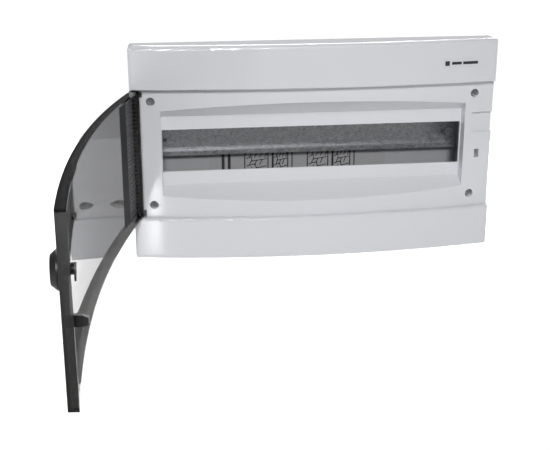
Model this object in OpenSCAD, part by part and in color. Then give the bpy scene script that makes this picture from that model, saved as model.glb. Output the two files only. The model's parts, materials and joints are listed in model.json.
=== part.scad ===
// Flush-mounting distribution box for one row of DIN breakers, with a smoked door.
// Origin: centre of the tub's rear face. +Y runs into the wall, +X right, +Z up.
// Helpers marked "wall frame" use y = 0 at the wall's surface, where the cover's rim lies.

/* [Cover] */
// Width of the front cover
cover_w = 392; // [390:1:396]
// Height of the front cover
cover_h = 232; // [230:1:240]
// Depth of the cover's flat sides in front of the wall
side_d = 23; // [22:0.5:25]
// How far the front bulges forward in the middle
bulge = 16; // [14:1:18]
// Wall thickness of the cover
cover_t = 2.5; // [2.2:0.1:2.8]
// Radius of the rounded outer edges
edge_r = 5; // [3:0.5:6]

/* [Door band] */
// Height of the recessed band that the door closes over
band_h = 140; // [138:1:142]
// Depth of the band behind the caps
band_d = 8; // [7.5:0.5:9]

/* [Module row] */
// Number of breaker modules in the row
modules = 18; // [18]
// Width of one module
module_w = 18; // [17.5:0.1:18]
// Height of the module opening
opening_h = 46.6; // [45:0.1:47]
// Distance from the rail's face to the back of the opening's plate
rail_to_plate = 42.3; // [41:0.1:44]

/* [Tub] */
// Outer width of the tub in the wall
tub_w = 361; // [360:1:364]
// Outer height of the tub in the wall
tub_h = 201; // [198:1:206]
// Depth of the tub in the wall
tub_d = 50; // [50:1:60]
// Wall thickness of the tub
tub_t = 2.5; // [2:0.1:3]

/* [Door] */
// Wall thickness of the door
door_t = 2.4; // [2:0.1:2.8]
// Angle the door stands open at rest
open_deg = 95; // [90:1:100]

/* [Latch] */
// Diameter of the knob
knob_d = 27; // [24:1:28]
// Height of the knob above the door
knob_h = 5.6; // [5:0.1:8]
// Reach of the cam from the knob's axis
cam_reach = 13; // [12.5:0.1:13.2]

/* [Hidden] */

big = 720;               // facets of the large arcs
round_fn = 48;           // facets of small round parts
eps = 0.01;
white = [0.92, 0.92, 0.91];
smoke = [0.25, 0.25, 0.27, 0.6];
dark = [0.12, 0.12, 0.13];
steel = [0.66, 0.67, 0.69];
brass = [0.80, 0.64, 0.32];

// The front is part of one large vertical cylinder: caps, band and door share its axis.
half_w = cover_w / 2;
arc_r = (half_w * half_w + bulge * bulge) / (2 * bulge);
arc_cy = arc_r - side_d - bulge;
cap_gap = cover_t;
space_w = cover_w - 2 * cover_t;
space_h = cover_h - 2 * cover_t;

// Rounding of the caps' edges beside the band
upper_rim_r = 0.8;
lower_rim_r = 2.4;

// Module opening and the funnel around it, in the wall frame
opening_w = modules * module_w + 3;
plate_t = 2;
rail_face_y = 37.5;                           // front of the rail's flanges
plate_back_y = rail_face_y - rail_to_plate;   // rear face of the opening's plate
plate_y = plate_back_y - plate_t;             // front face of the opening's plate
funnel_half_w = opening_w / 2 + 1;
funnel_half_h = 38;                           // half height of the funnel's flat floor
funnel_slope = 0.65;                          // rise of its slanted faces per mm forward
funnel_front = 60;                            // far enough forward to clear the bulge

// Cover fixings, in the wall frame
fix_x = 174.3;
fix_z = 56.5;
well_r = 4.6;
well_wall_r = 6.2;
well_back_y = -6.3;
well_floor_t = 2.5;
cover_screw_r = 2;
head_r = 4;
head_t = 3;
screw_tip_y = 12;
insert_r = 3.5;
insert_len = 9;
boss_r = 6;
boss_front_y = -6;

// Tub
tub_in_w = tub_w - 2 * tub_t;
tub_in_h = tub_h - 2 * tub_t;
wall_hole_x = 260;
wall_hole_z = 140;
wall_hole_r = 2.75;
knockout_r = 11;
knockouts = 7;
knockout_pitch = 44;

// Hinge: a vertical axis inside the door's left edge, in the wall frame
hinge_x = -191.5;
hinge_y = -20.9;
pin_r = 1.5;
pin_clear = 0.05;
pin_in_cap = 6;
pin_in_door = 6.5;
trough_r = 8.4;
ear_r = 9.9;
ear_h = 5;
ear_z = 65;

// Door, in the wall frame and closed
door_h = band_h - 1.6;
door_left = -195.3;
door_right = 194.6;
flange_d = band_d - 0.3;
rib_pitch = 4.2;
rib_t = 1;
rib_leg = 3.6;

// Latch: its axis is square to the door's face, in depths behind the outer surface
latch_x = 178.5;
latch_z = 23.8;
latch_deg = asin(latch_x / arc_r);
knob_gap = 0.3;
knob_skirt = 1.6;
knob_top_r = 10;
key_slot_w = 2.2;
key_slot_h = 16;
spindle_r = 4;
spindle_clear = 0.05;
latch_screw_r = 1.2;
latch_screw_len = 5;
latch_head_r = 2.6;
cam_seat_t = 0.5;
lip_t = 1.3;
cam_t = 1.2;
cam_w = 8;
cam_clear = 0.35;
cam_depth = band_d + lip_t + cam_clear;
pocket_depth = cam_depth + cam_t + cam_clear;
pocket_left = 173.9;
pocket_low = 13;
pocket_high = 35.2;
pocket_floor_t = 2.2;
undercut_h = 3;

// Door catch and its hole, in the wall frame
catch_x = 180.2;
catch_z = -10.9;
catch_hole_w = 5.4;
catch_hole_h = 9.5;
catch_t = 3.4;
catch_h = 8.2;
catch_tip_h = 4.6;
catch_tip_y = -8.5;
socket_t = 1.6;
socket_back_y = -4;

// Rail: 35 mm top-hat section
rail_len = 350;
rail_h = 35;
rail_deep = 7.5;
rail_t = 1;
rail_crown_h = 27;
rail_screw_x = 168.5;
rail_slot_x = 165.5;
rail_slot_len = 13;
rail_slot_r = 2.6;

rail_head_r = 4.8;
rail_head_t = 2.4;
rail_back_y = rail_face_y + rail_deep - tub_d;
rail_tap_r = 1.6;
rail_tap_len = 4;

// Terminal bars
bar_len = 150;
bar_d = 10;
bar_h = 7;
bar_back_y = -14;
bar_z = 86;
bar_x = -70;
bar_ways = 12;
bar_pitch = 11;
bar_hole_r = 2.2;
bar_screw_r = 1.9;
holder_w = 9;
holder_h = 15;
foot_t = 2.5;
holder_screw_r = 1.2;
holder_tap_len = 1.7;

// Leaflet and badge
leaflet_w = 206;
leaflet_h = 146;
leaflet_t = 0.4;
leaflet_x = -8;
badge_w = 46;
badge_h = 8.4;
badge_x = 157;
badge_z = 91.4;
badge_t = 0.4;

// --- shared helpers -------------------------------------------------------

// Moves the wall frame's origin from the wall's surface to the tub's rear face
module at_wall() translate([0, -tub_d, 0]) children();

// Swings a closed door's parts about the hinge to the open rest position
module swung_open() at_wall()
    translate([hinge_x, hinge_y, 0])
        rotate([0, 0, -open_deg])
            translate([-hinge_x, -hinge_y, 0])
                children();

// Puts children on the front's outer surface, with -Y pointing out of it
module on_front(angle) translate([0, arc_cy, 0])
    rotate([0, 0, angle])
        translate([0, -arc_r, 0])
            children();

// Cylinder along Y from y0 to y1
module y_rod(r, y0, y1, fn = round_fn) translate([0, y1, 0])
    rotate([90, 0, 0])
        cylinder(r = r, h = y1 - y0, $fn = fn);

module box(x0, x1, y0, y1, z0, z1) translate([x0, y0, z0])
    cube([x1 - x0, y1 - y0, z1 - z0]);

// Plan area behind an arc of radius r, between two side planes
module plan(r, x0, x1, back = 0) intersection() {
    translate([0, arc_cy]) circle(r = r, $fn = big);
    translate([x0, -funnel_front]) square([x1 - x0, funnel_front + back]);
}

module rounded_rect(w, h, r) {
    square([w - 2 * r, h], center = true);
    square([w, h - 2 * r], center = true);
    for (x = [-1, 1], y = [-1, 1])
        translate([x * (w / 2 - r), y * (h / 2 - r)]) circle(r = r, $fn = round_fn);
}

module four_corners(dx, dz) for (x = [-1, 1], z = [-1, 1])
    translate([x * dx, 0, z * dz]) children();

// Cross recess cut into a screw head whose face is at y = 0
module cross_recess(size, depth) for (a = [45, 135]) rotate([0, a, 0])
    translate([-size / 2, -eps, -size / 10]) cube([size, depth + eps, size / 5]);

// --- front cover ----------------------------------------------------------

// Section of the caps in radius and height, with rounded front edges
module cap_section() difference() {
    translate([arc_r - funnel_front, -cover_h / 2]) square([funnel_front, cover_h]);
    for (s = [-1, 1]) difference() {
        translate([arc_r - edge_r, s > 0 ? cover_h / 2 - edge_r : -cover_h / 2 - 1])
            square([edge_r + 1, edge_r + 1]);
        translate([arc_r - edge_r, s * (cover_h / 2 - edge_r)]) circle(r = edge_r, $fn = round_fn);
    }
    for (s = [-1, 1]) {
        r = s > 0 ? upper_rim_r : lower_rim_r;
        z = s * (band_h / 2 + r);
        difference() {
            translate([arc_r - r, s > 0 ? z - r - 1 : z]) square([r + 1, r + 1]);
            translate([arc_r - r, z]) circle(r = r, $fn = round_fn);
        }
    }
}

module cover_corner_cut() for (s = [-1, 1]) {
    cx = half_w - edge_r;
    front_there = arc_cy - sqrt(arc_r * arc_r - cx * cx);
    cy = front_there + edge_r;
    mirror([s > 0 ? 0 : 1, 0]) difference() {
        translate([cx, -funnel_front]) square([edge_r + 1, funnel_front + cy]);
        translate([cx, cy]) circle(r = edge_r, $fn = round_fn);
    }
}

module cover_block() intersection() {
    sweep = 24;   // degrees of the front's arc, more than the cover spans
    translate([0, arc_cy, 0]) rotate([0, 0, -90 - sweep / 2])
        rotate_extrude(angle = sweep, $fn = big) cap_section();
    linear_extrude(height = cover_h + 2, center = true) difference() {
        translate([-half_w, -funnel_front]) square([cover_w, funnel_front]);
        cover_corner_cut();
    }
    rotate([90, 0, 0]) linear_extrude(height = 2 * funnel_front, center = true)
        rounded_rect(cover_w, cover_h, edge_r);
}

module band_cut() linear_extrude(height = band_h, center = true) difference() {
    translate([-half_w - 1, -funnel_front]) square([cover_w + 2, funnel_front]);
    translate([0, arc_cy]) circle(r = arc_r - band_d, $fn = big);
}

module cover_space() {
    cap_space_h = (space_h - band_h) / 2 - cover_t;
    linear_extrude(height = space_h, center = true)
        plan(arc_r - band_d - cover_t, -space_w / 2, space_w / 2, 1);
    for (s = [-1, 1]) translate([0, 0, s * (space_h - cap_space_h) / 2])
        linear_extrude(height = cap_space_h, center = true)
            plan(arc_r - cover_t, -space_w / 2, space_w / 2, 1);
}

// Section of the funnel in depth and height, grown by t behind and above
module funnel_section(t) {
    y0 = plate_y + (t > 0 ? plate_t : 0);
    z0 = funnel_half_h + t;
    reach = y0 + funnel_front;
    polygon([[y0, -z0], [y0, z0], [-funnel_front, z0 + funnel_slope * reach],
        [-funnel_front, -z0 - funnel_slope * reach]]);
}

module funnel(half, t) rotate([90, 0, 90])
    linear_extrude(height = 2 * half, center = true) funnel_section(t);

// Solid left inside the cover's hollow
module cover_solids() {
    funnel(funnel_half_w + cover_t, cover_t);
    four_corners(fix_x, fix_z) y_rod(well_wall_r, -funnel_front, well_back_y);
    box(-half_w, -181, -funnel_front, -8.5, -band_h / 2 - cover_t, band_h / 2 + cover_t);
    for (s = [-1, 1]) translate([hinge_x, hinge_y, s * (band_h / 2 + 4.5)])
        cylinder(r = 4, h = 9, center = true, $fn = round_fn);
    latch_block();
    translate([catch_x, 0, catch_z]) box(-catch_hole_w / 2 - socket_t, catch_hole_w / 2 + socket_t,
        -funnel_front, socket_back_y + socket_t,
        -catch_hole_h / 2 - socket_t, catch_hole_h / 2 + socket_t);
}

module latch_block() on_front(latch_deg)
    box(pocket_left - latch_x - cover_t, half_w - latch_x, 0,
        pocket_depth + pocket_floor_t, pocket_low - cover_t, pocket_high + undercut_h + cover_t);

module latch_pocket() on_front(latch_deg) {
    right = half_w + 2 - latch_x;
    box(pocket_left - latch_x, right, 0, pocket_depth, pocket_low, pocket_high);
    box(pocket_left - latch_x, right - 5, band_d + lip_t, pocket_depth,
        pocket_high - eps, pocket_high + undercut_h);
}

module hinge_cuts() translate([hinge_x, hinge_y, 0]) {
    cylinder(r = trough_r, h = band_h, center = true, $fn = 96);
    for (s = [-1, 1]) {
        translate([0, 0, s * (band_h / 2 - 4.25)])
            cylinder(r = ear_r, h = 8.5, center = true, $fn = 96);
        translate([0, 0, s * (band_h / 2 + pin_in_cap / 2)])
            cylinder(r = pin_r + 0.02, h = pin_in_cap, center = true, $fn = round_fn);
    }
}

module front_cover() color(white) at_wall() difference() {
    cover_block();
    band_cut();
    difference() {
        cover_space();
        cover_solids();
    }
    funnel(funnel_half_w, 0);
    box(-opening_w / 2, opening_w / 2, -funnel_front, 1, -opening_h / 2, opening_h / 2);
    four_corners(fix_x, fix_z) {
        y_rod(well_r, -funnel_front, well_back_y - well_floor_t);
        y_rod(cover_screw_r + 0.2, -funnel_front, 1);
    }
    hinge_cuts();
    latch_pocket();
    translate([catch_x, 0, catch_z]) box(-catch_hole_w / 2, catch_hole_w / 2,
        -funnel_front, socket_back_y, -catch_hole_h / 2, catch_hole_h / 2);
}

// --- tub and what is screwed to it ----------------------------------------

module knockout_row() for (i = [0 : knockouts - 1])
    translate([(i - (knockouts - 1) / 2) * knockout_pitch, -tub_d / 2, 0]) difference() {
        cylinder(r = knockout_r, h = 1, $fn = round_fn);
        translate([0, 0, -eps]) cylinder(r = knockout_r - 1, h = 1 + 2 * eps, $fn = round_fn);
    }

module wall_tub() color(white) difference() {
    union() {
        difference() {
            box(-tub_w / 2, tub_w / 2, -tub_d, 0, -tub_h / 2, tub_h / 2);
            box(-tub_in_w / 2, tub_in_w / 2, -tub_d - 1, -tub_t, -tub_in_h / 2, tub_in_h / 2);
        }
        four_corners(fix_x, fix_z) y_rod(boss_r, boss_front_y - tub_d, -tub_t);
        four_corners(wall_hole_x / 2, wall_hole_z / 2) y_rod(6, -tub_t - 2, -tub_t);
        for (x = [-1, 1]) translate([x * rail_screw_x, 0, 0])
            y_rod(6.5, rail_back_y, -tub_t);
    }
    four_corners(fix_x, fix_z) {
        y_rod(insert_r + 0.02, boss_front_y - tub_d - 1, boss_front_y - tub_d + insert_len);
        y_rod(2.4, boss_front_y - tub_d, screw_tip_y - tub_d + 1);
    }
    four_corners(wall_hole_x / 2, wall_hole_z / 2) y_rod(wall_hole_r, -tub_t - 3, 1);
    for (x = [-1, 1]) translate([x * rail_screw_x, 0, 0])
        y_rod(rail_tap_r, rail_back_y - 1, rail_back_y + rail_tap_len);
    for (s = [-1, 1]) for (x = holder_screw_xs()) translate([x, 0, s * bar_z])
        y_rod(holder_screw_r, -tub_t - 1, -tub_t + holder_tap_len);
    translate([0, 0, tub_h / 2 - 1 + eps]) knockout_row();
    translate([0, 0, -tub_h / 2 - eps]) knockout_row();
}

module cover_screws() color(dark) at_wall() four_corners(fix_x, fix_z) {
    seat = well_back_y - well_floor_t;
    difference() {
        y_rod(head_r, seat - head_t, seat);
        translate([0, seat - head_t, 0]) cross_recess(5, 1.6);
    }
    y_rod(cover_screw_r, seat, screw_tip_y);
}

module cover_inserts() color(brass) at_wall() four_corners(fix_x, fix_z) difference() {
    y_rod(insert_r, boss_front_y, boss_front_y + insert_len);
    y_rod(cover_screw_r + 0.05, boss_front_y - 1, boss_front_y + insert_len + 1);
}

// Half of the rail's section in depth and height
module rail_section() {
    crown = rail_crown_h / 2;
    back = rail_face_y + rail_deep;
    translate([back - rail_t, -crown]) square([rail_t, 2 * crown]);
    for (s = [-1, 1]) {
        translate([rail_face_y, s > 0 ? crown - rail_t : -crown]) square([rail_deep, rail_t]);
        translate([rail_face_y, s > 0 ? crown - rail_t : -rail_h / 2])
            square([rail_t, rail_h / 2 - crown + rail_t]);
    }
}

module din_rail() color(steel) at_wall() difference() {
    rotate([90, 0, 90]) linear_extrude(height = rail_len, center = true) rail_section();
    for (x = [-1, 1]) translate([x * rail_slot_x, 0, 0]) {
        run = rail_slot_len / 2 - rail_slot_r;
        for (e = [-run, run]) translate([e, 0, 0]) y_rod(rail_slot_r, 40, 50);
        box(-run, run, 40, 50, -rail_slot_r, rail_slot_r);
    }
}

module rail_screws() color(steel) for (x = [-1, 1])
    translate([x * rail_screw_x, rail_back_y - rail_t, 0]) {
        difference() {
            y_rod(rail_head_r, -rail_head_t, 0);
            translate([0, -rail_head_t, 0]) cross_recess(6, 1.2);
        }
        y_rod(rail_tap_r - 0.05, 0, rail_t + rail_tap_len - 0.5);
    }

// --- terminal bars ---------------------------------------------------------

function bar_way_x(i) = (i - (bar_ways - 1) / 2) * bar_pitch;
function holder_xs() = [bar_x - bar_len / 2 + holder_w / 2, bar_x + bar_len / 2 - holder_w / 2];
function holder_screw_xs() = [bar_x - bar_len / 2 - holder_w, bar_x + bar_len / 2 + holder_w];

module terminal_bar(s) color(brass) translate([bar_x, bar_back_y, s * bar_z]) difference() {
    box(-bar_len / 2, bar_len / 2, -bar_d, 0, -bar_h / 2, bar_h / 2);
    for (i = [0 : bar_ways - 1]) translate([bar_way_x(i), 0, 0]) {
        translate([0, -bar_hole_r - 1, 0])
            cylinder(r = bar_hole_r, h = bar_h + 1, center = true, $fn = round_fn);
        y_rod(bar_screw_r + 0.05, -bar_d - 1, -bar_hole_r - 1);
    }
}

module terminal_screws(s) color(steel) for (i = [0 : bar_ways - 1])
    translate([bar_x + bar_way_x(i), bar_back_y - bar_d, s * bar_z]) {
        difference() {
            y_rod(2.6, -2, 0);
            box(-3, 3, -2 - eps, -1.1, -0.4, 0.4);
        }
        y_rod(bar_screw_r, 0, bar_d - 2 * bar_hole_r - 1.4);
    }

module bar_holder(s) color(dark) for (i = [0, 1])
    translate([holder_xs()[i], 0, s * bar_z]) {
        side = i == 0 ? -1 : 1;
        foot = holder_w * 1.5;
        box(-holder_w / 2, holder_w / 2, bar_back_y, -tub_t, -holder_h / 2, holder_h / 2);
        for (k = [-1, 1]) translate([0, 0, k * (bar_h / 2 + 1.1)])
            box(-holder_w / 2, holder_w / 2, bar_back_y - bar_d + 1, bar_back_y + eps, -1, 1);
        difference() {
            translate([side * foot, 0, 0]) box(-holder_w, holder_w, -tub_t - foot_t, -tub_t,
                -holder_h / 2, holder_h / 2);
            translate([side * foot, 0, 0]) y_rod(holder_screw_r + 0.2, -tub_t - foot_t - 1, 0);
        }
    }

module bar_holder_screws() color(steel) for (s = [-1, 1]) for (x = holder_screw_xs())
    translate([x, -tub_t - foot_t, s * bar_z]) {
        difference() {
            y_rod(2.8, -1.8, 0);
            translate([0, -1.8, 0]) cross_recess(3.6, 0.9);
        }
        y_rod(holder_screw_r - 0.05, 0, foot_t + holder_tap_len - 0.3);
    }

// --- leaflet and badge ------------------------------------------------------

module instruction_leaflet() color([0.96, 0.96, 0.94]) translate([leaflet_x, -tub_t, 0])
    box(-leaflet_w / 2, leaflet_w / 2, -leaflet_t, 0, -leaflet_h / 2, leaflet_h / 2);

module cover_badge() color(dark) at_wall() translate([0, 0, badge_z])
    linear_extrude(height = badge_h, center = true) difference() {
        plan(arc_r + badge_t, badge_x - badge_w / 2, badge_x + badge_w / 2);
        translate([0, arc_cy]) circle(r = arc_r, $fn = big);
    }

// --- door and latch ---------------------------------------------------------

module door_shell() difference() {
    linear_extrude(height = door_h, center = true) difference() {
        plan(arc_r, door_left, door_right);
        translate([0, arc_cy]) circle(r = arc_r - flange_d, $fn = big);
    }
    linear_extrude(height = door_h - 2 * door_t, center = true)
        plan(arc_r - door_t, door_left + door_t, door_right - door_t);
}

// One small gusset in the corner between the hinge-side flange and the panel
module hinge_rib() {
    x0 = door_left + door_t - eps;
    y0 = hinge_y - 0.6;
    linear_extrude(height = rib_t, center = true)
        polygon([[x0, y0], [x0 + rib_leg, y0], [x0, y0 + rib_leg]]);
}

module door_ears() for (s = [-1, 1]) translate([0, 0, s * ear_z]) {
    y0 = -side_d + flange_d - 1.2;
    box(door_left, door_left + door_t, y0, y0 + 3.8, -ear_h / 2, ear_h / 2);
}

module door_knuckles() intersection() {
    linear_extrude(height = door_h, center = true) plan(arc_r, door_left, door_right);
    for (s = [-1, 1]) translate([hinge_x, hinge_y, s * (door_h / 2 - 4)])
        cylinder(r = 3.4, h = 8, center = true, $fn = round_fn);
}

module door_panel() color(smoke) swung_open() difference() {
    ribs = floor((door_h / 2 - 10) / rib_pitch);
    union() {
        door_shell();
        for (i = [-ribs : ribs]) translate([0, 0, i * rib_pitch]) hinge_rib();
        door_ears();
        door_knuckles();
    }
    for (s = [-1, 1]) translate([hinge_x, hinge_y, s * (door_h / 2 - 3)])
        cylinder(r = pin_r + pin_clear, h = 10.5, center = true, $fn = round_fn);
    translate([0, 0, latch_z]) on_front(latch_deg)
        y_rod(spindle_r + spindle_clear, -2, door_t + 1);
}

module hinge_pin(s) color(dark) at_wall()
    translate([hinge_x, hinge_y, s * (band_h / 2 + (pin_in_cap - pin_in_door) / 2)])
        cylinder(r = pin_r, h = pin_in_cap + pin_in_door, center = true, $fn = round_fn);

module door_catch() color(dark) swung_open() translate([0, 0, catch_z]) intersection() {
    h = catch_h / 2;
    tip = catch_tip_h / 2;
    linear_extrude(height = catch_h, center = true)
        plan(arc_r - door_t - 0.02, catch_x - catch_t / 2, catch_x + catch_t / 2);
    translate([catch_x, 0, 0]) rotate([90, 0, 90])
        linear_extrude(height = catch_t, center = true)
            polygon([[-side_d - 5, -h], [catch_tip_y - 4, -h], [catch_tip_y, -tip],
                [catch_tip_y, tip], [catch_tip_y - 4, h], [-side_d - 5, h]]);
}

module latch_frame() swung_open() translate([0, 0, latch_z]) on_front(latch_deg) children();

module latch_knob() color(dark) latch_frame() {
    difference() {
        union() {
            y_rod(knob_d / 2, -knob_skirt, -knob_gap);
            translate([0, -knob_skirt, 0]) rotate([90, 0, 0])
                cylinder(r1 = knob_d / 2, r2 = knob_top_r, h = knob_h - knob_skirt, $fn = 64);
            y_rod(spindle_r, -1, cam_depth);
        }
        box(-key_slot_w / 2, key_slot_w / 2, -knob_h - 1, -knob_h + key_slot_w,
            -key_slot_h / 2, key_slot_h / 2);
        y_rod(latch_screw_r + spindle_clear, cam_depth - latch_screw_len - 1, cam_depth + 1);
    }
}

module latch_cam() color(dark) latch_frame() difference() {
    union() {
        y_rod(cam_w / 2, cam_depth, cam_depth + cam_t);
        box(0, cam_reach - 1, cam_depth, cam_depth + cam_t, -cam_w / 2, cam_w / 2);
        box(cam_reach - 1.1, cam_reach, cam_depth, cam_depth + cam_t, -cam_w / 2 + 1, cam_w / 2 - 1);
    }
    y_rod(latch_screw_r + 0.2, cam_depth - 1, cam_depth + cam_t + 1);
    y_rod(latch_head_r + 0.1, cam_depth + cam_seat_t, cam_depth + cam_t + 1);
}

module latch_screw() color(steel) latch_frame() difference() {
    union() {
        y_rod(latch_screw_r, cam_depth - latch_screw_len, cam_depth + cam_seat_t + 0.1);
        y_rod(latch_head_r, cam_depth + cam_seat_t, cam_depth + cam_t);
    }
    translate([0, cam_depth + cam_t, 0]) mirror([0, 1, 0]) cross_recess(3.4, 0.4);
}

wall_tub();
front_cover();
door_panel();
hinge_pin(1);  // hinge_pin_upper
hinge_pin(-1);  // hinge_pin_lower
latch_knob();
latch_cam();
latch_screw();
door_catch();
din_rail();
rail_screws();
cover_screws();
cover_inserts();
terminal_bar(1);  // neutral_bar
terminal_bar(-1);  // earth_bar
bar_holder(1);  // neutral_bar_holder
bar_holder(-1);  // earth_bar_holder
terminal_screws(1);  // neutral_screws
terminal_screws(-1);  // earth_screws
bar_holder_screws();
instruction_leaflet();
cover_badge();
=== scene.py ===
import json
import math

import bmesh
import bpy
from mathutils import Matrix, Vector


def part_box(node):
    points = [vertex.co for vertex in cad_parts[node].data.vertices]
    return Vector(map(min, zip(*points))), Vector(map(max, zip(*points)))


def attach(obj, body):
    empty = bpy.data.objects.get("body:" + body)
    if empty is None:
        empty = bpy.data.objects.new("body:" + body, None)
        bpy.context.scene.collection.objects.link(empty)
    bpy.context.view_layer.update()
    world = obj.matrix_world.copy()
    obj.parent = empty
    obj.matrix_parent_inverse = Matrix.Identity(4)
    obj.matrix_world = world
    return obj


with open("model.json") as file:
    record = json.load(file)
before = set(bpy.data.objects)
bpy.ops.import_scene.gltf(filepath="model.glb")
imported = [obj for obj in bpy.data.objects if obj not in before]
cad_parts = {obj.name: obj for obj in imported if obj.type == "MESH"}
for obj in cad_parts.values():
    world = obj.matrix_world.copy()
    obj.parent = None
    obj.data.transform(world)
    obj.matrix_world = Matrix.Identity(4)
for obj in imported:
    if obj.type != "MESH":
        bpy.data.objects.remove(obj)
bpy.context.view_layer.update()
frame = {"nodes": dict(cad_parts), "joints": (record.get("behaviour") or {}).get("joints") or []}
nodes = frame["nodes"]
MM = 0.001

# --- sizes repeated from the part's source ------------------------------------

BOSS_PROUD = 6 * MM                      # how far the tub's bosses stand in front of the wall
SIDE_D = 23 * MM                         # depth of the cover's flat sides
DOOR_T = 2.4 * MM                        # wall thickness of the door
DOOR_HALF_H = 69.2 * MM

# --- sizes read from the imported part, and the bow they give ---------------------

cover_lo, cover_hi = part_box("front_cover")
tub_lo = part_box("wall_tub")[0]
leaf_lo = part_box("instruction_leaflet")[0]
badge_lo, badge_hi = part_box("cover_badge")
wall_y = tub_lo.y + BOSS_PROUD           # the wall's surface
half_w = (cover_hi.x - cover_lo.x) / 2
bulge = wall_y - cover_lo.y - SIDE_D
arc_r = (half_w ** 2 + bulge ** 2) / (2 * bulge)
arc_cy = wall_y - SIDE_D - bulge + arc_r
hinge = [j for j in frame["joints"] if j["name"] == "door_hinge"][0]
hinge_at = Vector(hinge["pos_m"])
closed = math.radians(max(hinge["range_deg"]))
OPEN = (Matrix.Translation(hinge_at) @ Matrix.Rotation(-closed, 4, "Z")
        @ Matrix.Translation(-hinge_at))


def bowed(angle, depth, z):
    """The point that lies depth behind the bowed front, at this angle from its middle."""
    r = arc_r - depth
    return (r * math.sin(angle), arc_cy - r * math.cos(angle), z)


# --- materials ---------------------------------------------------------------

class Nodes:
    """A material's node tree with short ways to add and join nodes."""

    def __init__(self, name):
        self.mat = bpy.data.materials.new(name)
        self.mat.use_nodes = True
        self.tree = self.mat.node_tree
        self.shader = self.tree.nodes["Principled BSDF"]
        self.out = self.tree.nodes["Material Output"]

    def add(self, kind, **values):
        node = self.tree.nodes.new(kind)
        for key, value in values.items():
            if key in node.inputs:
                node.inputs[key].default_value = value
            else:
                setattr(node, key, value)
        return node

    def join(self, source, target):
        self.tree.links.new(source, target)

    def coords(self, scale):
        """Object coordinates, scaled along each axis."""
        place = self.add("ShaderNodeTexCoord")
        mapping = self.add("ShaderNodeMapping")
        mapping.inputs["Scale"].default_value = scale
        self.join(place.outputs["Object"], mapping.inputs["Vector"])
        return mapping.outputs["Vector"]

    def noise(self, scale, detail=4.0, stretch=(1, 1, 1), rough=0.55):
        node = self.add("ShaderNodeTexNoise")
        node.inputs["Scale"].default_value = scale
        node.inputs["Detail"].default_value = detail
        node.inputs["Roughness"].default_value = rough
        self.join(self.coords(stretch), node.inputs["Vector"])
        return node.outputs["Fac"]

    def remap(self, value, low, high, start=0.3, end=0.7):
        """Value stretched so that start gives low and end gives high."""
        node = self.add("ShaderNodeMapRange")
        node.inputs["From Min"].default_value = start
        node.inputs["From Max"].default_value = end
        node.inputs["To Min"].default_value = low
        node.inputs["To Max"].default_value = high
        self.join(value, node.inputs["Value"])
        return node.outputs["Result"]

    def colours(self, value, dark, light, start=0.3, end=0.7):
        """Sets the base colour to run from dark to light with value."""
        ramp = self.add("ShaderNodeValToRGB")
        ramp.color_ramp.elements[0].position = start
        ramp.color_ramp.elements[1].position = end
        ramp.color_ramp.elements[0].color = (*dark, 1)
        ramp.color_ramp.elements[1].color = (*light, 1)
        self.join(value, ramp.inputs["Fac"])
        self.join(ramp.outputs["Color"], self.shader.inputs["Base Color"])

    def bump(self, heights, strength, distance):
        """Adds bumps from a list of (height, strength share) pairs, one over the other."""
        last = None
        for height, share in heights:
            node = self.add("ShaderNodeBump")
            node.inputs["Strength"].default_value = strength * share
            node.inputs["Distance"].default_value = distance
            self.join(height, node.inputs["Height"])
            if last is not None:
                self.join(last, node.inputs["Normal"])
            last = node.outputs["Normal"]
        self.join(last, self.shader.inputs["Normal"])


GRAIN_DEPTH = 0.02 * MM


def shade(colour, factor):
    return tuple(min(1.0, c * factor) for c in colour)


def moulded(name, colour, rough, relief=0.12, coat=0.0, drift=0.03):
    """Injection-moulded plastic: slight drift in its colour and gloss, and a fine grain."""
    m = Nodes(name)
    m.colours(m.noise(14.0, 3.0), shade(colour, 1 - drift), shade(colour, 1 + drift))
    fine = m.noise(2200.0, 2.0)
    m.join(m.remap(m.noise(400.0, 3.0), rough * 0.9, rough * 1.12), m.shader.inputs["Roughness"])
    m.bump([(fine, 1.0)], relief, GRAIN_DEPTH)
    m.shader.inputs["Coat Weight"].default_value = coat
    m.shader.inputs["Coat Roughness"].default_value = 0.11
    m.shader.inputs["Specular IOR Level"].default_value = 0.5 - 0.3 * coat
    m.shader.inputs["IOR"].default_value = 1.5
    return m.mat


def metal(name, colour, rough, along, streak=900.0, relief=0.25, blotch=0.12, run=0.02):
    """Drawn or plated metal: streaks along one axis, longer for a smaller run, and a blotchy skin."""
    m = Nodes(name)
    stretch = [1.0, 1.0, 1.0]
    stretch[along] = run
    lines = m.noise(streak, 3.0, tuple(stretch))
    skin = m.noise(160.0, 6.0, rough=0.7)
    mix = m.add("ShaderNodeMath", operation="ADD")
    half = m.add("ShaderNodeMath", operation="MULTIPLY")
    half.inputs[1].default_value = 0.5
    m.join(lines, mix.inputs[0])
    m.join(skin, mix.inputs[1])
    m.join(mix.outputs[0], half.inputs[0])
    m.colours(half.outputs[0], shade(colour, 1 - blotch), shade(colour, 1 + blotch), 0.38, 0.62)
    m.join(m.remap(half.outputs[0], rough * 0.7, rough * 1.4), m.shader.inputs["Roughness"])
    m.bump([(lines, 1.0), (skin, 0.6)], relief, GRAIN_DEPTH)
    m.shader.inputs["Metallic"].default_value = 1.0
    return m.mat


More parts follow.
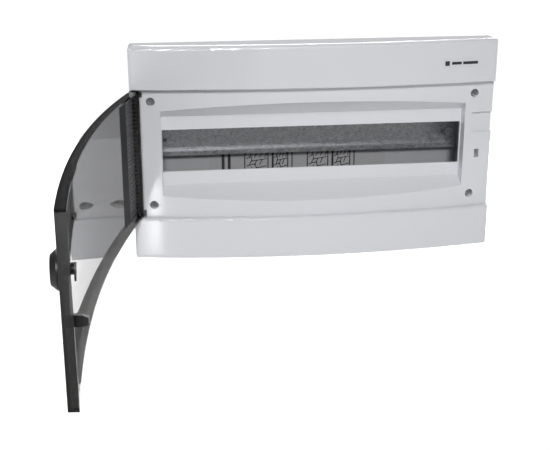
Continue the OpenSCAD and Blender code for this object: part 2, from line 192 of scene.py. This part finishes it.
def smoked(name):
    """Smoked see-through plastic: clear surfaces, and a tint that grows with thickness."""
    m = Nodes(name)
    m.shader.inputs["Base Color"].default_value = (1, 1, 1, 1)
    m.shader.inputs["Transmission Weight"].default_value = 1.0
    m.shader.inputs["IOR"].default_value = 1.585
    m.join(m.remap(m.noise(40.0, 4.0), 0.01, 0.035), m.shader.inputs["Roughness"])
    m.bump([(m.noise(9.0, 1.0), 1.0)], 0.08, 0.05 * MM)
    tint = m.add("ShaderNodeVolumeAbsorption")
    tint.inputs["Color"].default_value = (0.02, 0.015, 0.0, 1)
    tint.inputs["Density"].default_value = 860.0
    m.join(tint.outputs["Volume"], m.out.inputs["Volume"])
    return m.mat


def paper(name):
    """Matt paper with fibres and a slight buckle; its white is darkened to grey as painted shade of
    the box's dim inside.
    """
    m = Nodes(name)
    fibres = m.noise(700.0, 6.0, (1, 1, 0.35), 0.7)
    # white paper painted grey: painted shade for the dim inside of the box
    m.colours(fibres, (0.35, 0.35, 0.36), (0.41, 0.41, 0.415))
    m.shader.inputs["Roughness"].default_value = 0.8
    m.bump([(fibres, 1.0), (m.noise(8.0, 2.0), 1.5)], 0.3, 0.05 * MM)
    return m.mat


WHITE = (0.768, 0.778, 0.812)
DARK = (0.022, 0.022, 0.024)
STEEL = (0.44, 0.45, 0.465)

white_gloss = moulded("white_gloss", WHITE, 0.4, relief=0.04, coat=0.9, drift=0.004)
# The tub is white plastic; this grey colour is painted shade for the dim inside of the box
white_matt_painted_shade = moulded("white_matt_painted_shade", (0.40, 0.405, 0.42), 0.5, relief=0.3, drift=0.02)
dark_satin = moulded("dark_satin", DARK, 0.36, relief=0.25, drift=0.12)
dark_latch = moulded("dark_latch", (0.016, 0.016, 0.018), 0.42, relief=0.3, drift=0.1)
smoke = smoked("smoked_clear")
rail_zinc = metal("rail_zinc", STEEL, 0.42, 0, streak=1300.0, relief=0.5, blotch=0.38, run=0.22)
screw_zinc = metal("screw_zinc", (0.62, 0.62, 0.62), 0.3, 1, streak=1500.0)
screw_black = metal("screw_black", (0.36, 0.36, 0.365), 0.4, 1, streak=1500.0, relief=0.4, blotch=0.3)
bar_brass = metal("bar_brass", (0.72, 0.52, 0.23), 0.3, 0)
blue_plastic = moulded("neutral_blue", (0.03, 0.12, 0.42), 0.4)
green_plastic = moulded("earth_green", (0.05, 0.28, 0.08), 0.4)
leaf_paper = paper("leaflet_paper")
print_black = moulded("print_black", (0.03, 0.03, 0.032), 0.6, relief=0.1)

FINISH = {
    "wall_tub": white_matt_painted_shade, "front_cover": white_gloss, "door_panel": smoke,
    "hinge_pin_upper": dark_satin, "hinge_pin_lower": dark_satin,
    "latch_knob": dark_latch, "latch_cam": dark_satin, "latch_screw": screw_zinc,
    "door_catch": dark_satin, "din_rail": rail_zinc, "rail_screws": screw_zinc,
    "cover_screws": screw_black, "cover_inserts": bar_brass, "neutral_bar": bar_brass,
    "earth_bar": bar_brass, "neutral_bar_holder": blue_plastic,
    "earth_bar_holder": green_plastic, "neutral_screws": screw_zinc,
    "earth_screws": screw_zinc, "bar_holder_screws": screw_zinc,
    "instruction_leaflet": leaf_paper, "cover_badge": white_gloss,
}
for name, material in FINISH.items():
    for slot in nodes[name].material_slots:
        slot.material = material

# --- softened edges on the CAD nodes, widths in mm ------------------------------

SOFT_EDGES = {"front_cover": 0.6, "wall_tub": 0.4, "latch_knob": 0.4, "din_rail": 0.2,
              "cover_screws": 0.2, "rail_screws": 0.25, "latch_cam": 0.2, "door_catch": 0.3}
SHARP_DEG = 35
for name, width in SOFT_EDGES.items():
    edge = nodes[name].modifiers.new("soft_edges", "BEVEL")
    edge.width = width * MM
    edge.segments = 3
    edge.limit_method = "ANGLE"
    edge.angle_limit = math.radians(SHARP_DEG)
    edge.harden_normals = True


# --- pieces made here ------------------------------------------------------------

def new_piece(name, build, material, body, transform=None):
    """Makes a mesh piece with build(bm), gives it its material and lets it ride on a body."""
    bm = bmesh.new()
    build(bm)
    if transform is not None:
        bm.transform(transform)
    bmesh.ops.recalc_face_normals(bm, faces=bm.faces)
    mesh = bpy.data.meshes.new(name)
    bm.to_mesh(mesh)
    bm.free()
    piece = bpy.data.objects.new(name, mesh)
    bpy.context.scene.collection.objects.link(piece)
    mesh.materials.append(material)
    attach(piece, body)
    return piece


def add_prism(bm, ring, offset):
    """A closed prism: ring is a list of points, offset the vector to its other end."""
    near = [bm.verts.new(p) for p in ring]
    far = [bm.verts.new(Vector(p) + offset) for p in ring]
    bm.faces.new(near)
    bm.faces.new(far[::-1])
    count = len(ring)
    for i in range(count):
        j = (i + 1) % count
        bm.faces.new((near[i], near[j], far[j], far[i]))


def add_swept(bm, sections):
    """A closed tube through a list of equal rings of points."""
    rings = [[bm.verts.new(p) for p in ring] for ring in sections]
    count = len(rings[0])
    for a, b in zip(rings, rings[1:]):
        for i in range(count):
            j = (i + 1) % count
            bm.faces.new((a[i], a[j], b[j], b[i]))
    bm.faces.new(rings[0][::-1])
    bm.faces.new(rings[-1])


RIB_H = 0.5 * MM
RIB_LIFT = 0.03 * MM                     # gap that keeps the ribs off the door's inner face
RIB_MARGIN = 3 * MM                      # from the ribs' ends to the door's upper and lower wall
band_top = DOOR_HALF_H - DOOR_T - RIB_MARGIN


def rib_depth(share):
    """How far behind the bowed front a point lies that is this share of the way up a rib."""
    return DOOR_T + RIB_LIFT + share * RIB_H


def hinge_band(bm):
    """Close horizontal ribs on the door's inner face beside the hinge, along the bow."""
    pitch, width, steps = 4.2 * MM, 3.6 * MM, 8
    x0, x1 = -186 * MM, -161 * MM
    count = int(band_top / pitch)
    shape = ((-0.5, 0.0), (-0.3, 0.8), (0.0, 1.0), (0.3, 0.8), (0.5, 0.0))
    for i in range(-count, count + 1):
        sections = []
        for k in range(steps + 1):
            angle = math.asin((x0 + (x1 - x0) * k / steps) / arc_r)
            sections.append([bowed(angle, rib_depth(share), i * pitch + side * width)
                             for side, share in shape])
        add_swept(bm, sections)


def hinge_flutes(bm):
    """Fine upright flutes between the ribs and the clear panel."""
    pitch, width, count = 1.5 * MM, 1.44 * MM, 14
    x0 = -160 * MM
    shape = ((-0.5, 0.0), (-0.25, 0.8), (0.0, 1.0), (0.25, 0.8), (0.5, 0.0))
    for i in range(count):
        angle = math.asin((x0 + i * pitch) / arc_r)
        ring = [bowed(angle + side * width / arc_r, rib_depth(share), -band_top)
                for side, share in shape]
        add_prism(bm, ring, Vector((0, 0, 2 * band_top)))


new_piece("door_hinge_ribs", hinge_band, dark_satin, "door", OPEN)
new_piece("door_hinge_flutes", hinge_flutes, dark_satin, "door", OPEN)


INK_GAP = 0.01 * MM                      # between the leaflet's face and the back of its print


def strokes(lines, width, thick):
    """Returns a builder that draws flat strokes on the leaflet through lists of (x, z) points."""
    y = leaf_lo.y - INK_GAP

    def build(bm):
        for line in lines:
            for (xa, za), (xb, zb) in zip(line, line[1:]):
                run = Vector((xb - xa, 0, zb - za))
                if run.length < 1e-9:
                    continue
                side = Vector((-run.z, 0, run.x)).normalized() * (width / 2)
                tip = run.normalized() * (width / 2)
                a, b = Vector((xa, y, za)) - tip, Vector((xb, y, zb)) + tip
                add_prism(bm, [a - side, b - side, b + side, a + side], Vector((0, -thick, 0)))
    return build


def sketch_box(x, z, w, h, d):
    """A box in oblique view: front frame, top and side."""
    slant = d * 0.6
    front = [(x, z), (x + w, z + 0.06 * h), (x + w, z + h), (x, z + 0.94 * h), (x, z)]
    back = [(x, z + 0.94 * h), (x + d, z + h + slant), (x + w + d, z + h + slant),
            (x + w + d, z + slant), (x + w, z + 0.06 * h)]
    corner = [(x + w, z + h), (x + w + d, z + h + slant)]
    return [front, back, corner]


def sketch_parts(x, z, w, h):
    """Shelves and small uprights drawn inside a box of that size."""
    lines = []
    for k in range(3):
        level = z + h * (0.2 + 0.26 * k)
        step = x + w * (0.62 - 0.17 * k)
        lines.append([(x + 0.08 * w, level), (step, level + 0.07 * h),
                      (step + 0.04 * w, level - 0.09 * h), (x + 0.92 * w, level - 0.02 * h)])
        for i in range(2 + k):
            at = x + w * (0.2 + 0.22 * i)
            lines.append([(at, level + 0.04 * h), (at + 0.1 * w, level + 0.2 * h)])
    return lines


SKETCH_ROWS = (-98 * MM, -50 * MM, -2 * MM)
SKETCHES = ((-70 * MM, 27 * MM), (-37 * MM, 17 * MM), (3 * MM, 24 * MM), (33 * MM, 20 * MM))
SKETCH_H, SKETCH_D = 33 * MM, 5 * MM
outlines = []
inner_lines = []
for row in SKETCH_ROWS:
    for x0, w in SKETCHES:
        outlines += sketch_box(x0, row, w, SKETCH_H, SKETCH_D)
        inner_lines += sketch_parts(x0, row, w, SKETCH_H)
bars = [[(x, -60 * MM), (x, 56 * MM)] for x in (-95 * MM, -88 * MM)]
for name, drawn, width, thick in (("leaflet_outlines", outlines, 1.3 * MM, 0.03 * MM),
                                  ("leaflet_parts", inner_lines, 1.0 * MM, 0.02 * MM),
                                  ("leaflet_title_bars", bars, 3.4 * MM, 0.03 * MM)):
    new_piece(name, strokes(drawn, width, thick), print_black, "enclosure")

MARK_BACK, MARK_FRONT = 0.41 * MM, 0.44 * MM     # in front of the cover's bowed face


def badge_marks(bm, x0, widths, height, gap):
    """Plain blocks printed along the badge, a hair proud of it and following the bow."""
    z = (badge_lo.z + badge_hi.z) / 2
    x = x0
    for w in widths:
        sections = []
        for k in range(3):
            at = x + w * k / 2
            angle = math.asin(at / arc_r)
            sections.append([bowed(angle, -proud, z + dz * height) for proud, dz in (
                (MARK_BACK, -0.5), (MARK_BACK, 0.5), (MARK_FRONT, 0.5), (MARK_FRONT, -0.5))])
        add_swept(bm, sections)
        x += w + gap


TILE, TILE_IN = 5.0 * MM, 1.5 * MM       # TILE_IN and BARS_IN count from the badge's left end
BARS, BARS_IN, BAR_H, BAR_GAP = (11 * MM, 17 * MM), 9 * MM, 3.0 * MM, 1.5 * MM
new_piece("badge_tile", lambda bm: badge_marks(bm, badge_lo.x + TILE_IN, [TILE], TILE, 0),
          print_black, "enclosure")
new_piece("badge_bars", lambda bm: badge_marks(bm, badge_lo.x + BARS_IN, BARS, BAR_H, BAR_GAP),
          print_black, "enclosure")

# --- floor, light and camera --------------------------------------------------------

FLOOR_Z, FLOOR_R, FLOOR_SIDES = -0.62, 2.6, 64
ROOM_FRONT, ROOM_BACK, BACKDROP = 0.20, 0.12, 1.05      # brightness of the surroundings
FADE_Y = 0.3                             # the front fades into the back over twice this
FADE_Z = -0.10                           # the backdrop has faded out between here and level


def floor_disc(mesh):
    """Makes mesh a flat round disc at the floor's height."""
    bm = bmesh.new()
    centre = bm.verts.new((0, 0, FLOOR_Z))
    ring = []
    for k in range(FLOOR_SIDES):
        turn = 2 * math.pi * k / FLOOR_SIDES
        ring.append(bm.verts.new((FLOOR_R * math.cos(turn), FLOOR_R * math.sin(turn), FLOOR_Z)))
    for i in range(FLOOR_SIDES):
        bm.faces.new((centre, ring[i], ring[(i + 1) % FLOOR_SIDES]))
    bm.to_mesh(mesh)
    bm.free()


def floor_paint(name):
    """Pale matt floor that brightens towards its rim, so that it meets the backdrop unseen."""
    m = Nodes(name)
    m.colours(m.noise(14.0, 3.0), (0.775, 0.775, 0.78), (0.785, 0.785, 0.79))
    m.shader.inputs["Roughness"].default_value = 0.8
    m.bump([(m.noise(300.0, 2.0), 1.0)], 0.02, GRAIN_DEPTH)
    reach = m.add("ShaderNodeVectorMath", operation="LENGTH")
    m.join(m.coords((1, 1, 0)), reach.inputs[0])
    glow = m.remap(reach.outputs["Value"], 0.0, BACKDROP, 0.5 * FLOOR_R, 0.97 * FLOOR_R)
    m.shader.inputs["Emission Color"].default_value = (1, 1, 1, 1)
    m.join(glow, m.shader.inputs["Emission Strength"])
    return m.mat


floor_mesh = bpy.data.meshes.new("floor")
floor_disc(floor_mesh)
floor = bpy.data.objects.new("floor", floor_mesh)
bpy.context.scene.collection.objects.link(floor)
floor_mesh.materials.append(floor_paint("floor_pale"))

world = bpy.data.worlds.new("studio")
bpy.context.scene.world = world
world.use_nodes = True
world_tree = world.node_tree
sky = world_tree.nodes["Background"]


def fade(source, start, end, low, high):
    """A smooth step of source from low to high between start and end."""
    node = world_tree.nodes.new("ShaderNodeMapRange")
    node.interpolation_type = "SMOOTHSTEP"
    for key, value in (("From Min", start), ("From Max", end), ("To Min", low), ("To Max", high)):
        node.inputs[key].default_value = value
    world_tree.links.new(source, node.inputs["Value"])
    return node.outputs["Result"]


# A dim studio with a bright backdrop behind and below; to the camera it is white all round
where = world_tree.nodes.new("ShaderNodeTexCoord")
split = world_tree.nodes.new("ShaderNodeSeparateXYZ")
world_tree.links.new(where.outputs["Generated"], split.inputs["Vector"])
upper = fade(split.outputs["Y"], -FADE_Y, FADE_Y, ROOM_FRONT, ROOM_BACK)
lower = fade(split.outputs["Y"], -FADE_Y, FADE_Y, ROOM_FRONT, BACKDROP)
below = fade(split.outputs["Z"], FADE_Z, 0.0, 1.0, 0.0)
blend = world_tree.nodes.new("ShaderNodeMix")
world_tree.links.new(below, blend.inputs["Factor"])
world_tree.links.new(upper, blend.inputs["A"])
world_tree.links.new(lower, blend.inputs["B"])
seen = world_tree.nodes.new("ShaderNodeMix")
rays = world_tree.nodes.new("ShaderNodeLightPath")
world_tree.links.new(rays.outputs["Is Camera Ray"], seen.inputs["Factor"])
world_tree.links.new(blend.outputs["Result"], seen.inputs["A"])
seen.inputs["B"].default_value = BACKDROP
world_tree.links.new(seen.outputs["Result"], sky.inputs["Color"])


def softbox(name, at, aim, size, power, spread):
    """A rectangular lamp, unseen by the camera; places in metres, spread in degrees."""
    light = bpy.data.lights.new(name, "AREA")
    light.shape = "RECTANGLE"
    light.size, light.size_y = size
    light.energy = power
    light.spread = math.radians(spread)
    lamp = bpy.data.objects.new(name, light)
    bpy.context.scene.collection.objects.link(lamp)
    lamp.location = at
    lamp.rotation_euler = (Vector(aim) - Vector(at)).to_track_quat("-Z", "Y").to_euler()
    lamp.visible_camera = False
    return lamp


softbox("key", at=(-0.20, -2.55, 1.55), aim=(-0.02, -0.05, 0), size=(0.40, 0.70),
        power=3.15, spread=46)
softbox("backdrop", at=(0.0, 2.0, 1.7), aim=(0, 1.3, -0.6), size=(3.4, 1.0),
        power=84, spread=130)
# A narrow strip that the cover alone reflects, as a soft upright streak beside the hinge
strip = softbox("strip", at=(-0.565, -1.30, -0.37), aim=(-0.15, -0.075, -0.03), size=(0.045, 0.44),
                power=0.10, spread=60)
strip.light_linking.receiver_collection = bpy.data.collections.new("strip_lit")
strip.light_linking.receiver_collection.objects.link(nodes["front_cover"])

LENS, SENSOR_W, SHIFT_X, SHIFT_Y = 56.73, 36, 0.0511, -0.1183
CAMERA_X, CAMERA_OUT, CAMERA_Z = -0.15654, 0.91291, 0.23538    # out from the wall's surface
YAW, PITCH, ROLL = math.radians(5.30), math.radians(-15.26), math.radians(-0.54)
camera_data = bpy.data.cameras.new("camera")
camera_data.lens = LENS
camera_data.sensor_width = SENSOR_W
camera_data.shift_x = SHIFT_X
camera_data.shift_y = SHIFT_Y
camera = bpy.data.objects.new("camera", camera_data)
bpy.context.scene.collection.objects.link(camera)
bpy.context.scene.camera = camera
ahead = Vector((math.sin(YAW) * math.cos(PITCH), math.cos(YAW) * math.cos(PITCH), math.sin(PITCH)))
sideways = Vector((math.cos(YAW), -math.sin(YAW), 0))
upright = sideways.cross(ahead)
right = sideways * math.cos(ROLL) + upright * math.sin(ROLL)
up = upright * math.cos(ROLL) - sideways * math.sin(ROLL)
facing = Matrix((right, up, -ahead)).transposed().to_4x4()
camera.matrix_world = Matrix.Translation((CAMERA_X, wall_y - CAMERA_OUT, CAMERA_Z)) @ facing

view = bpy.context.scene.view_settings
view.view_transform = "Standard"
view.look = "None"
view.exposure = 0.0
